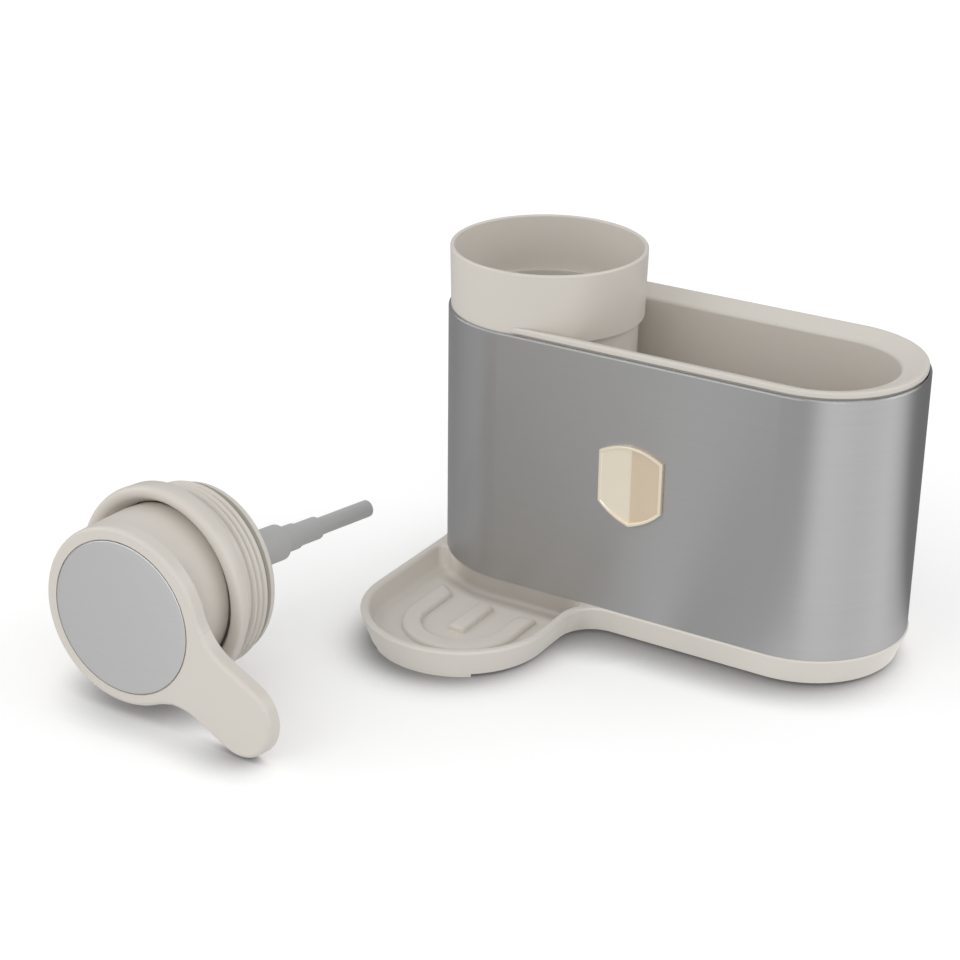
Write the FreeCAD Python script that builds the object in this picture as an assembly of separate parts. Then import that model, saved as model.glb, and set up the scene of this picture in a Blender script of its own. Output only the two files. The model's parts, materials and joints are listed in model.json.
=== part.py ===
import FreeCAD, Part
import math
import os

from FreeCAD import Base

# Soap pump caddy: a steel sleeve on a moulded base with a soap dish, a liner that holds
# a soap bottle and an open sponge pocket, and the pump lying beside it on the table.
# Sizes are in millimetres. X runs along the sleeve towards the open pocket, -Y is the
# side of the dish, +Z is up, and the origin is on the table under the sleeve's centre.

# Sleeve
sleeve_length = 200.0
sleeve_width = 80.0
sleeve_height = 106.2
sleeve_wall = 0.6
sleeve_curl = 0.9
sleeve_rim = 1.0

# Base tray with the dish
foot_height = 1.5
base_height = 11.3
base_overhang = 0.8
base_draft = 4.0
base_floor = 2.0
base_edge_round = 0.8
dish_shift = 1.8
dish_reach = 27.7
dish_narrowing = 0.5
dish_fillet = 11.0
dish_side_blend = 30.0
dish_rim = 3.7
dish_wall_draft = 2.0
dish_floor_round = 2.5
dish_corner = 3.0
plinth_step = 0.3
dish_rim_round = 1.4
rib_height = 1.6
rib_side_round = 1.0
rib_width = 7.8
rib_outer_radius = 24.3
rib_centre_shift = 1.5
rib_left_gaps = (2.0, 8.0)
rib_right_gaps = (10.0, 12.5)
bar_shift = 1.0
bar_width = 6.8
bar_length = 23.0
bar_gap = 10.0
upstand_height = 4.0
upstand_wall = 2.0
base_boss_radius = 5.0
base_boss_height = 2.5
foot_band = 7.0
dish_foot_angles = (236.0, 308.0)
pocket_foot_angles = (25.0, 80.0)
bottle_foot_angles = (100.0, 160.0)
hidden_foot_inset = 9.0
middle_foot_radius = 9.0

# Screws that hold the liner to the base
screw_end_inset = 28.0
screw_side_inset = 22.0
screw_radius = 1.4
screw_head_radius = 3.0
screw_head_height = 1.6
screw_head_round = 0.6
screw_slot = (4.0, 0.8, 0.7)
screw_bite = 8.0
post_radius = 3.6

# Liner
liner_floor = 2.0
liner_wall = 2.0
lip_height = 2.8
lip_width = 1.6
lip_round = 0.6
lip_groove_height = 0.7
lip_groove_depth = 0.8
deck_drop = 3.1
pocket_inset = 11.4
skirt_height = 14.0
lip_gap = 0.2
deck_thickness = 2.0
pocket_edge_round = 1.6

# Bottle
collar_inset = 1.1
collar_flare = 0.6
collar_height = 27.5
collar_above_sleeve = 24.9
collar_rim = 1.7
collar_bore_depth = 22.7
collar_bore_draft = 1.2
bottle_inset = 3.5
bottle_wall = 2.2
bottle_floor = 2.5
bottle_base_round = 3.0
bottle_foot_recess = 1.0
rim_round = 0.7

# Badge plate
badge_width = 27.3
badge_top = 16.6
badge_shoulder = 12.6
badge_waist = -8.6
badge_tip = -16.9
badge_side_bulge = 1.7
badge_x = 0.9
badge_above_base = 55.6
badge_thickness = 1.5
badge_edge_chamfer = 0.35
badge_rim = 1.0
badge_field_depth = 0.5
badge_ridge = 0.9

# Pump closure: heights are measured along the pump's axis from the plane
# that rests on the bottle's rim
ring_inset = 0.2
ring_height = 10.0
ring_crest_round = 2.4
ring_mouth_height = 3.0
plug_inset = 5.0
plug_depth = 20.0
plug_rib_reach = 1.3
plug_rib_height = 2.0
plug_rib_round = 0.6
plug_rib_offsets = (8.5, 12.2)
plug_wall = 3.4
seal_reach = 0.8
seal_height = 2.0
seal_seat_depth = 1.4
seal_clearance = 0.05
seal_edge_round = 0.6
plug_base_height = 3.0
plug_base_inset = 0.4
plug_base_round = 1.0
plug_base_plate = 2.0
spigot_wall = 1.6
spigot_height = 2.6

# Pump engine
cylinder_radius = 7.4
cylinder_bore = 6.0
cylinder_length = 39.0
cylinder_flange_radius = 11.2
cylinder_flange_height = 1.6
cylinder_neck = 3.4
cylinder_floor = 3.0
cylinder_end_round = 0.6
valve_radius = 5.4
valve_bore = 3.9
valve_length = 9.0
valve_floor = 2.0
valve_seat_bore = 2.0
socket_radius = 4.75
socket_length = 13.0
socket_floor = 1.5
gasket_height = 1.0
gasket_hoop_wall = 1.5
tube_radius = 3.6
tube_bore = 2.6
tube_end = 93.0
ball_radius = 2.75
guide_radius = 9.6
guide_cap = 1.6
guide_round = 0.6
stem_radius = 4.0
stem_bore = 2.1
stem_foot = 12.0
stem_top = 9.6
piston_height = 7.0
piston_lip = 1.1
piston_waist = 0.8
outlet_ball_radius = 1.7
outlet_seat = 1.2
outlet_seat_bore = 1.2
outlet_chamber_bore = 2.4
outlet_chamber_height = 9.0
spring_wire = 1.0
spring_turns = 6
spring_side_gap = 0.5

# Pump head
head_height = 32.3
head_offset = 6.5
head_slant = 7.4
head_inset = 4.8
head_skirt_gap = 0.8
head_skirt_wall = 2.2
head_skirt_bottom = -4.0
head_cone_start = 16.0
head_plate = 6.0
head_top = 3.0
head_edge_round = 1.8
head_lap = 0.2
head_wall_gain = 0.6
tongue_half_width = 14.5
tongue_centre = 60.5
tongue_bend_x = 32.0
tongue_rise = 4.3
tongue_fillet = 24.0
tongue_wall = 2.4
channel_start = 41.0
cover_thickness = 1.6
disc_inset = 5.2
disc_gap = 0.5
disc_thickness = 1.2
disc_recess = 1.0
disc_crown = 0.9
disc_edge_round = 0.3
head_boss_radius = 6.4
head_boss_bottom = 1.0
duct_radius = 3.2
duct_bore = 1.3
duct_depth = 3.8
riser_bore = 2.4
nozzle_radius = 3.5
nozzle_bore = 1.9
nozzle_drop = 3.0
nozzle_flange = 1.2
nozzle_edge_round = 0.4

# Pump's place beside the caddy
pump_x = -132.3
pump_y = -155.4
pump_azimuth = 83.5
pump_tilt = 4.9
table_gap = 0.1

# Named clearances
sleeve_clearance = 0.2
bottle_clearance = 0.3
collar_clearance = 0.3
seat_gap = 0.1
running_clearance = 0.05
press_clearance = 0.02
fit_clearance = 0.1
plug_clearance = 0.2

# Depth by which fused shapes reach into each other
fuse_overlap = 0.5

half_width = sleeve_width / 2
bottle_x = -(sleeve_length - sleeve_width) / 2
pocket_x = -bottle_x
dish_x = bottle_x + dish_shift
dish_y = -half_width - dish_reach
rib_centre_y = dish_y + rib_centre_shift
rib_left_end = [-half_width - gap for gap in rib_left_gaps]
rib_right_end = [-half_width - gap for gap in rib_right_gaps]
bar_x = dish_x + bar_shift
bar_ends = (-half_width - bar_gap - bar_length, -half_width - bar_gap)
hidden_foot_radius = half_width - hidden_foot_inset
screw_x = sleeve_length / 2 - screw_end_inset
screw_y = half_width - screw_side_inset
base_half = half_width + base_overhang
dish_radius = base_half - dish_narrowing
sleeve_bottom = foot_height + base_height
sleeve_top = sleeve_bottom + sleeve_height
sleeve_inner = half_width - sleeve_wall
upstand_half = sleeve_inner - sleeve_clearance
upstand_top = sleeve_bottom + upstand_height
floor_top = foot_height + base_floor
liner_bottom = upstand_top
liner_floor_top = liner_bottom + liner_floor
liner_half = half_width - sleeve_rim - lip_gap
pocket_half_width = half_width - pocket_inset
lip_top = sleeve_top + lip_height
deck_inner_z = lip_top - deck_drop
collar_top = sleeve_top + collar_above_sleeve
collar_bottom = collar_top - collar_height
collar_radius = half_width - collar_inset
collar_top_radius = collar_radius + collar_flare
collar_bore_radius = collar_top_radius - collar_rim
bottle_radius = half_width - bottle_inset
well_half = bottle_radius + bottle_clearance
ring_radius = half_width - ring_inset
plug_radius = half_width - plug_inset
plug_rib_radius = plug_radius + plug_rib_reach
well_radius = plug_radius - plug_wall
seal_radius = plug_radius + seal_reach
seal_seat_radius = plug_radius - seal_seat_depth
plug_base_radius = plug_radius - plug_base_inset
head_radius = half_width - head_inset
head_skirt_radius = well_radius - head_skirt_gap
disc_radius = head_radius - disc_inset
screw_places = [(x, y) for x in (-screw_x, screw_x) for y in (-screw_y, screw_y)]


def vec(x, y, z=0.0):
    return Base.Vector(x, y, z)


def box_between(low, high):
    return Part.makeBox(high[0] - low[0], high[1] - low[1], high[2] - low[2], vec(*low))


def cylinder(radius, z0, z1, x=0.0, y=0.0):
    return Part.makeCylinder(radius, z1 - z0, vec(x, y, z0))


def tube(outer, inner, z0, z1, x=0.0, y=0.0):
    return cylinder(outer, z0, z1, x, y).cut(cylinder(inner, z0, z1, x, y))


def arc(centre, radius, start, middle, end):
    """Arc through three angles, in degrees, in a level plane."""
    points = []
    for angle in (start, middle, end):
        a = math.radians(angle)
        points.append(centre + vec(radius * math.cos(a), radius * math.sin(a)))
    return Part.Arc(*points).toShape()


def stadium_wire(half, z):
    """Level outline of the sleeve's shape with the given half width."""
    right = vec(pocket_x, 0, z)
    left = vec(bottle_x, 0, z)
    up = vec(0, half)
    edges = [
        arc(right, half, -90, 0, 90),
        Part.makeLine(right + up, left + up),
        arc(left, half, 90, 180, 270),
        Part.makeLine(left - up, right - up),
    ]
    return Part.Wire(edges)


def stadium(half, z0, z1):
    return Part.Face(stadium_wire(half, z0)).extrude(vec(0, 0, z1 - z0))


def stadium_ring(outer, inner, z0, z1):
    return stadium(outer, z0, z1).cut(stadium(inner, z0, z1))


def stadium_funnel(top_half, top_z, bottom_half, bottom_z):
    return Part.makeLoft([stadium_wire(bottom_half, bottom_z), stadium_wire(top_half, top_z)], True, True)


def tray_wire(inset, z):
    """Level outline of the base with its dish, drawn in by the inset."""
    half = base_half - inset
    lobe_radius = dish_radius - inset
    blend = dish_side_blend + inset
    right = vec(pocket_x, 0, z)
    left = vec(bottle_x, 0, z)
    lobe = vec(dish_x, dish_y, z)
    blend_x = dish_x - dish_radius - dish_side_blend
    reach = base_half + dish_side_blend
    blend_centre = vec(blend_x, -math.sqrt(reach ** 2 - (blend_x - bottle_x) ** 2), z)
    turn = math.degrees(math.atan2(-blend_centre.y, bottle_x - blend_x))
    hollow = vec(dish_x + dish_radius + dish_fillet, -base_half - dish_fillet, z)
    hollow_radius = dish_fillet + inset
    edges = [
        arc(right, half, -90, 0, 90),
        Part.makeLine(right + vec(0, half), left + vec(0, half)),
        arc(left, half, 90, 135, 180 + turn),
        arc(blend_centre, blend, turn, turn / 2, 0),
        Part.makeLine(blend_centre + vec(blend, 0), lobe + vec(-lobe_radius, 0)),
        arc(lobe, lobe_radius, 180, 270, 360),
        Part.makeLine(lobe + vec(lobe_radius, 0), hollow + vec(-hollow_radius, 0)),
        arc(hollow, hollow_radius, 180, 135, 90),
        Part.makeLine(hollow + vec(0, hollow_radius), right + vec(0, -half)),
    ]
    return Part.Wire(edges)


def tray_loft(bottom_inset, bottom_z, top_inset, top_z):
    return Part.makeLoft([tray_wire(bottom_inset, bottom_z), tray_wire(top_inset, top_z)], True, True)


def edges_at_height(shape, z, test=None):
    """Edges that lie level at height z, and pass the test on their middle point."""
    found = []
    for edge in shape.Edges:
        box = edge.BoundBox
        if abs(box.ZMin - z) > 0.01 or abs(box.ZMax - z) > 0.01:
            continue
        middle = edge.valueAt((edge.FirstParameter + edge.LastParameter) / 2)
        if test is None or test(middle):
            found.append(edge)
    return found


def revolve(points):
    """Solid of revolution round Z of a closed outline in the XZ plane."""
    path = [vec(x, 0, z) for x, z in points]
    face = Part.Face(Part.makePolygon(path + path[:1]))
    return face.revolve(vec(0, 0, 0), vec(0, 0, 1), 360)


def sector(centre_y, centre_x, inner, outer, start, end, z0, z1):
    """Ring sector between two angles, in degrees."""
    centre = vec(centre_x, centre_y, z0)
    middle = (start + end) / 2
    first = arc(centre, outer, start, middle, end)
    second = arc(centre, inner, end, middle, start)
    sides = [
        Part.makeLine(first.valueAt(first.LastParameter), second.valueAt(second.FirstParameter)),
        Part.makeLine(second.valueAt(second.LastParameter), first.valueAt(first.FirstParameter)),
    ]
    wire = Part.Wire([first, sides[0], second, sides[1]])
    return Part.Face(wire).extrude(vec(0, 0, z1 - z0))


def dish_wire(inset, z):
    """Level outline of the space in the dish, with its corners rounded."""
    plinth = Part.Face(stadium_wire(upstand_half + plinth_step, z))
    around = Part.Face(tray_wire(inset, z)).cut(plinth)
    front = min(around.Faces, key=lambda face: face.CenterOfMass.y)
    return front.makeOffset2D(-dish_corner).makeOffset2D(dish_corner).Faces[0].OuterWire


def dish_hollow():
    """Space inside the dish, between its rim and the wall under the sleeve."""
    top = sleeve_bottom + 1.0
    slope = dish_wall_draft / (sleeve_bottom - floor_top)
    low = dish_wire(dish_rim + dish_wall_draft, floor_top)
    hollow = Part.makeLoft([low, dish_wire(dish_rim - slope, top)], True, True)
    return hollow.makeFillet(dish_floor_round, edges_at_height(hollow, floor_top))


def dish_ribs():
    """Low ribs that lift the soap: a U open to the sleeve, with slanted ends, and a middle bar."""
    top = floor_top + rib_height
    low = floor_top - fuse_overlap
    inner = rib_outer_radius - rib_width
    ring = tube(rib_outer_radius, inner, low, top, dish_x, rib_centre_y)
    behind = box_between((dish_x - half_width, rib_centre_y, low), (dish_x + half_width, 0, top))
    ribs = ring.cut(behind)
    for side, (outer_end, inner_end) in ((-1, rib_left_end), (1, rib_right_end)):
        outer_x = dish_x + side * rib_outer_radius
        inner_x = dish_x + side * inner
        corners = [
            vec(outer_x, rib_centre_y, low),
            vec(outer_x, outer_end, low),
            vec(inner_x, inner_end, low),
            vec(inner_x, rib_centre_y, low),
        ]
        arm = Part.Face(Part.makePolygon(corners + corners[:1])).extrude(vec(0, 0, top - low))
        ribs = ribs.fuse(arm)
    ribs = ribs.removeSplitter()
    half = bar_width / 2
    bar = box_between((bar_x - half, bar_ends[0], low), (bar_x + half, bar_ends[1], top))
    return [shape.makeFillet(rib_side_round, edges_at_height(shape, top)) for shape in (ribs, bar)]


def feet():
    """Band of the dish's wall that reaches the table, and feet out of sight under the sleeve."""
    inner = dish_radius - base_draft - foot_band
    hidden_inner = hidden_foot_radius - foot_band
    low, high = 0.0, foot_height + fuse_overlap
    first, last = pocket_foot_angles
    return [
        sector(dish_y, dish_x, inner, dish_radius, *dish_foot_angles, low, high),
        sector(0, pocket_x, hidden_inner, hidden_foot_radius, *pocket_foot_angles, low, high),
        sector(0, pocket_x, hidden_inner, hidden_foot_radius, -last, -first, low, high),
        sector(0, bottle_x, hidden_inner, hidden_foot_radius, *bottle_foot_angles, low, high),
        cylinder(middle_foot_radius, low, high),
    ]


def base_tray():
    """Moulded base: drafted wall, soap dish, upstand inside the sleeve, screw bosses and feet."""
    slope = base_draft / base_height
    shell = tray_loft(base_draft + slope * foot_height, 0, 0, sleeve_bottom)
    shell = shell.makeFillet(base_edge_round, edges_at_height(shell, sleeve_bottom))
    reach = 2 * sleeve_length
    relief = box_between((-reach, -reach, -1), (reach, reach, foot_height))
    shell = shell.cut(relief.cut(Part.makeCompound(feet())))
    shell = shell.cut(dish_hollow())
    shell = shell.makeFillet(dish_rim_round, dish_rim_edges(shell))
    shell = shell.fuse(dish_ribs())
    shell = shell.fuse(stadium(upstand_half, sleeve_bottom - 2 * base_edge_round, upstand_top))
    cavity = stadium(upstand_half - upstand_wall, floor_top, upstand_top)
    shell = shell.cut(cavity)
    boss_top = floor_top + base_boss_height
    for x, y in screw_places:
        shell = shell.fuse(cylinder(base_boss_radius, floor_top - fuse_overlap, boss_top, x, y))
    for x, y in screw_places:
        shell = shell.cut(cylinder(screw_radius + plug_clearance, 0, boss_top, x, y))
        recess = screw_head_radius + plug_clearance
        shell = shell.cut(cylinder(recess, 0, foot_height + screw_head_height, x, y))
    return shell.removeSplitter()


def dish_rim_edges(shell):
    """Rim edges round the dish's opening: the loop that lies inside the wall's outer face."""
    loop = dish_wire(dish_rim, sleeve_bottom)
    return edges_at_height(shell, sleeve_bottom, lambda p: loop.distToShape(Part.Vertex(p))[0] < 0.3)


def base_screws():
    """Pan-head screws up through the base into the liner's posts."""
    head_z = foot_height
    shank_end = post_bottom() + screw_bite
    screws = []
    for x, y in screw_places:
        head = cylinder(screw_head_radius, head_z, head_z + screw_head_height, x, y)
        head = head.makeFillet(screw_head_round, edges_at_height(head, head_z))
        length, width, depth = screw_slot
        slot = box_between((x - length / 2, y - width / 2, head_z), (x + length / 2, y + width / 2, head_z + depth))
        shank = cylinder(screw_radius, head_z, shank_end, x, y)
        screws.append(head.fuse(shank).cut(slot))
    return Part.makeCompound(screws)


def post_bottom():
    return floor_top + base_boss_height


def steel_sleeve():
    """Open steel sleeve with its top edge curled inwards."""
    under_rim = sleeve_top - sleeve_wall
    outside = stadium(half_width, sleeve_bottom, sleeve_top)
    outside = outside.makeFillet(sleeve_curl, edges_at_height(outside, sleeve_top))
    inside = stadium(sleeve_inner, sleeve_bottom, under_rim)
    inside = inside.makeFillet(sleeve_curl - sleeve_wall, edges_at_height(inside, under_rim))
    mouth = stadium(half_width - sleeve_rim, sleeve_bottom, sleeve_top)
    return outside.cut(inside.fuse(mouth))


def holder_liner():
    """Liner: bottle well, sponge pocket, sloping deck with a raised lip, short skirt and posts."""
    deck_base = sleeve_top - skirt_height
    pocket_outer = pocket_half_width + liner_wall
    skirt_half = liner_half - lip_groove_depth
    body = stadium(skirt_half, deck_base, lip_top)
    rim = stadium(liner_half, sleeve_top + lip_groove_height, lip_top)
    body = body.fuse(rim.makeFillet(lip_round, edges_at_height(rim, lip_top)))
    room_half = skirt_half - liner_wall
    under_half = pocket_outer - liner_wall / 2
    slope = deck_drop / (liner_half - lip_width - pocket_half_width)
    under_z = deck_inner_z - deck_thickness
    room_z = under_z + slope * (room_half - under_half)
    room = stadium(room_half, deck_base, room_z)
    body = body.cut(room.cut(stadium_funnel(room_half + 1, room_z + slope, under_half, under_z)))
    body = body.fuse(stadium(pocket_outer, liner_bottom, deck_inner_z))
    body = body.fuse(cylinder(liner_half, liner_bottom, collar_bottom, bottle_x))
    hollow = stadium_funnel(liner_half - lip_width, lip_top, pocket_half_width, deck_inner_z)
    hollow = hollow.fuse(stadium(pocket_half_width, liner_floor_top, deck_inner_z))
    hollow = hollow.fuse(cylinder(well_half, liner_floor_top, lip_top, bottle_x))
    seat_radius = collar_radius + collar_clearance
    hollow = hollow.fuse(cylinder(seat_radius, collar_bottom - seat_gap, lip_top, bottle_x))
    body = body.cut(hollow)
    mouth = edges_at_height(body, deck_inner_z, lambda p: p.x > bottle_x)
    body = body.makeFillet(pocket_edge_round, mouth)
    for x, y in screw_places:
        body = body.fuse(cylinder(post_radius, post_bottom(), liner_bottom, x, y))
    for x, y in screw_places:
        body = body.cut(cylinder(screw_radius, post_bottom(), liner_bottom + 0.2, x, y))
    return body.removeSplitter()


def badge_wire(inset):
    """Shield outline with an arched top, upright sides and a rounded point below."""
    half = badge_width / 2 - inset
    top = badge_top - inset
    tip = badge_tip + inset * 1.2
    shoulder = badge_shoulder - inset * 0.9
    waist = badge_waist + inset * 0.4
    bulge_x = half / 2 + badge_side_bulge * 0.7
    bulge_y = (waist + tip) / 2 - badge_side_bulge * 0.8
    edges = [
        Part.Arc(vec(half, shoulder), vec(0, top), vec(-half, shoulder)).toShape(),
        Part.makeLine(vec(-half, shoulder), vec(-half, waist)),
        Part.Arc(vec(-half, waist), vec(-bulge_x, bulge_y), vec(0, tip)).toShape(),
        Part.Arc(vec(0, tip), vec(bulge_x, bulge_y), vec(half, waist)).toShape(),
        Part.makeLine(vec(half, waist), vec(half, shoulder)),
    ]
    return Part.Wire(edges)


def badge_plate():
    """Plain shield plate with a raised rim and a field folded along an upright middle ridge."""
    plate = Part.Face(badge_wire(0)).extrude(vec(0, 0, badge_thickness))
    plate = plate.makeChamfer(badge_edge_chamfer, edges_at_height(plate, badge_thickness))
    field_face = Part.Face(badge_wire(badge_rim))
    floor_z = badge_thickness - badge_field_depth
    opening = field_face.extrude(vec(0, 0, badge_thickness))
    opening.translate(vec(0, 0, floor_z))
    half = badge_width / 2
    roof = [
        vec(-half, badge_tip, floor_z),
        vec(0, badge_tip, floor_z + badge_ridge),
        vec(half, badge_tip, floor_z),
        vec(half, badge_tip, floor_z - fuse_overlap),
        vec(-half, badge_tip, floor_z - fuse_overlap),
    ]
    roof_face = Part.Face(Part.makePolygon(roof + roof[:1]))
    ridge = roof_face.extrude(vec(0, badge_top - badge_tip, 0))
    inside = field_face.extrude(vec(0, 0, 2 * badge_thickness)).common(ridge)
    plate = plate.cut(opening).fuse(inside)
    plate.rotate(vec(0, 0), vec(1, 0, 0), 90)
    plate.translate(vec(badge_x, -half_width, sleeve_bottom + badge_above_base))
    return plate.removeSplitter()


def soap_bottle():
    """Bottle with a wide collar, an inner ledge and a narrower body that stands in the well."""
    bottom = liner_floor_top + bottle_clearance
    inner = bottle_radius - bottle_wall
    ledge = collar_top - collar_bore_depth
    foot = bottle_radius - bottle_base_round
    body = cylinder(bottle_radius, bottom, collar_bottom + 1)
    body = body.makeFillet(bottle_base_round, edges_at_height(body, bottom))
    collar = Part.makeCone(collar_radius, collar_top_radius, collar_height, vec(0, 0, collar_bottom))
    shell = body.fuse(collar)
    bore_low = collar_bore_radius - collar_bore_draft
    shell = shell.cut(Part.makeCone(bore_low, collar_bore_radius, collar_bore_depth, vec(0, 0, ledge)))
    hollow_z = bottom + bottle_foot_recess + bottle_floor
    hollow = cylinder(inner, hollow_z, ledge)
    hollow = hollow.makeFillet(bottle_base_round, edges_at_height(hollow, hollow_z))
    shell = shell.cut(hollow)
    shell = shell.cut(cylinder(foot - 2, bottom, bottom + bottle_foot_recess))
    shell = shell.makeFillet(rim_round, edges_at_height(shell, collar_top))
    shell = shell.removeSplitter()
    shell.translate(vec(bottle_x, 0, 0))
    return shell


def crested_ring():
    """Ring with a rounded crest near its rim and a mouth that slopes down to the well."""
    crest = vec(ring_radius - ring_crest_round, 0, ring_height - ring_crest_round)
    foot = vec(well_radius, 0, ring_mouth_height)
    span = crest - foot
    lean = math.atan2(span.z, span.x) + math.asin(ring_crest_round / span.Length)
    points = []
    for angle in (lean + math.pi / 2, lean / 2 + math.pi / 4, 0.0):
        turned = vec(math.cos(angle), 0, math.sin(angle))
        points.append(crest + turned * ring_crest_round)
    outer_low = vec(ring_radius, 0, 0)
    inner_low = vec(well_radius - 1, 0, 0)
    inner_high = vec(well_radius - 1, 0, ring_mouth_height)
    edges = [
        Part.makeLine(inner_low, outer_low),
        Part.makeLine(outer_low, points[2]),
        Part.Arc(points[2], points[1], points[0]).toShape(),
        Part.makeLine(points[0], foot),
        Part.makeLine(foot, inner_high),
        Part.makeLine(inner_high, inner_low),
    ]
    return Part.Face(Part.Wire(edges)).revolve(vec(0, 0), vec(0, 0, 1), 360)


def closure_collar():
    """Closure: crested ring on the bottle's rim, ribbed plug in its bore, well for the head."""
    bottom = plug_base_height - plug_depth
    body = crested_ring()
    body = body.fuse(cylinder(plug_radius, bottom + seal_height + plug_clearance, fuse_overlap))
    for offset in plug_rib_offsets:
        rib = cylinder(plug_rib_radius, -offset - plug_rib_height / 2, -offset + plug_rib_height / 2)
        rib = rib.makeFillet(plug_rib_round, rib_rims(rib))
        body = body.fuse(rib)
    body = body.fuse(cylinder(seal_seat_radius, bottom, 0))
    return body.cut(cylinder(well_radius, bottom, ring_height)).removeSplitter()


def rib_rims(shape):
    return [e for e in shape.Edges if edge_radius(e) > 0 and e.Closed]


def edge_radius(edge):
    if edge.Degenerated or not hasattr(edge.Curve, "Radius"):
        return 0.0
    return edge.Curve.Radius


def seal_ring():
    """Grey seal round the plug's foot."""
    bottom = plug_base_height - plug_depth
    ring = tube(seal_radius, seal_seat_radius + seal_clearance, bottom, bottom + seal_height)
    outer = [e for e in ring.Edges if edge_radius(e) > seal_radius - 0.1 and e.Closed]
    return ring.makeFillet(seal_edge_round, outer)


def plug_base():
    """Plate that closes the plug, holds the seal and carries the pump cylinder."""
    bottom = -plug_depth
    flange_top = bottom + plug_base_height
    plate_top = bottom + plug_base_plate
    spigot = well_radius - plug_clearance
    body = cylinder(plug_base_radius, bottom, flange_top)
    body = body.makeFillet(plug_base_round, rib_rims(body))
    body = body.fuse(cylinder(spigot, flange_top - 1, flange_top + spigot_height))
    body = body.cut(cylinder(spigot - spigot_wall, plate_top, flange_top + spigot_height))
    hoop = cylinder_flange_radius + plug_clearance
    hoop_top = plate_top + gasket_height + cylinder_flange_height
    body = body.fuse(tube(hoop + gasket_hoop_wall, hoop, plate_top, hoop_top))
    return body.cut(cylinder(cylinder_radius + plug_clearance, bottom, plate_top)).removeSplitter()


def cylinder_gasket():
    """Flat gasket under the pump cylinder's flange."""
    base = plug_base_plate - plug_depth
    return tube(cylinder_flange_radius, cylinder_radius + plug_clearance, base, base + gasket_height)


def pump_cylinder():
    """Stepped grey cylinder: neck and flange, barrel, inlet valve housing and tube socket."""
    flange = plug_base_plate - plug_depth + gasket_height
    flange_top = flange + cylinder_flange_height
    barrel_end = -plug_depth - cylinder_length
    valve_end = barrel_end - valve_length
    body = cylinder(cylinder_radius, barrel_end, flange_top + cylinder_neck)
    body = body.fuse(cylinder(cylinder_flange_radius, flange, flange_top))
    body = body.fuse(cylinder(valve_radius, valve_end, barrel_end))
    body = body.fuse(cylinder(socket_radius, valve_end - socket_length, valve_end))
    body = body.cut(cylinder(cylinder_bore, barrel_end + cylinder_floor, flange_top + cylinder_neck))
    body = body.cut(cylinder(valve_bore, valve_end + valve_floor, barrel_end + cylinder_floor))
    body = body.cut(cylinder(valve_seat_bore, valve_end - socket_floor, valve_end + valve_floor))
    socket_bore = tube_radius + running_clearance
    body = body.cut(cylinder(socket_bore, valve_end - socket_length, valve_end - socket_floor))
    rims = [e for e in edges_at_height(body, barrel_end) if edge_radius(e) > cylinder_radius - 0.1]
    return body.makeFillet(cylinder_end_round, rims).removeSplitter()


def inlet_ball():
    """Steel ball on the cylinder's inlet seat."""
    seat = -plug_depth - cylinder_length - valve_length + valve_floor
    rise = math.sqrt(ball_radius ** 2 - valve_seat_bore ** 2)
    return Part.makeSphere(ball_radius, vec(0, 0, seat + rise + running_clearance))


def dip_tube():
    """Straight tube from the cylinder's socket towards the bottle's floor."""
    top = -plug_depth - cylinder_length - valve_length - socket_floor - seat_gap
    return tube(tube_radius, tube_bore, -plug_depth - tube_end, top)


def stem_guide():
    """Cap that snaps over the cylinder's neck and guides the stem."""
    flange_top = plug_base_plate - plug_depth + gasket_height + cylinder_flange_height
    neck_top = flange_top + cylinder_neck
    body = cylinder(guide_radius, flange_top, neck_top + guide_cap)
    body = body.makeFillet(guide_round, edges_at_height(body, neck_top + guide_cap))
    body = body.cut(cylinder(cylinder_radius + running_clearance, flange_top, neck_top))
    return body.cut(cylinder(stem_radius + running_clearance, neck_top, neck_top + guide_cap))


def piston_top():
    flange_top = plug_base_plate - plug_depth + gasket_height + cylinder_flange_height
    return flange_top + cylinder_neck - stem_foot


def pump_stem():
    """Hollow stem from the piston up into the head, with the outlet valve's seat."""
    foot = piston_top() - piston_height
    seat = stem_top - outlet_chamber_height
    body = cylinder(stem_radius, foot, stem_top)
    body = body.cut(cylinder(stem_bore, foot, seat - outlet_seat))
    body = body.cut(cylinder(outlet_seat_bore, foot, seat))
    return body.cut(cylinder(outlet_chamber_bore, seat, stem_top))


def outlet_ball():
    """Small ball on the stem's outlet seat."""
    seat = stem_top - outlet_chamber_height
    rise = math.sqrt(outlet_ball_radius ** 2 - outlet_seat_bore ** 2)
    return Part.makeSphere(outlet_ball_radius, vec(0, 0, seat + rise + running_clearance))


def piston():
    """Piston with two sealing lips, on the stem's foot."""
    top = piston_top()
    bottom = top - piston_height
    lip = cylinder_bore - running_clearance
    waist = lip - piston_waist
    inner = stem_radius + press_clearance
    points = [
        (inner, bottom),
        (lip, bottom),
        (lip, bottom + piston_lip),
        (waist, bottom + piston_lip + piston_waist),
        (waist, top - piston_lip - piston_waist),
        (lip, top - piston_lip),
        (lip, top),
        (inner, top),
    ]
    return revolve(points)


def spring_path(radius, z0, height, turns):
    """Helix of half-turn arcs, each tilted to climb half a pitch."""
    steps = turns * 2
    rise = height / steps
    edges = []
    for index in range(steps):
        start = index * math.pi
        z = z0 + index * rise
        points = []
        for share in (0.0, 0.5, 1.0):
            angle = start + share * math.pi
            points.append(vec(radius * math.cos(angle), radius * math.sin(angle), z + share * rise))
        edges.append(Part.Arc(*points).toShape())
    return Part.Wire(edges)


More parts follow.
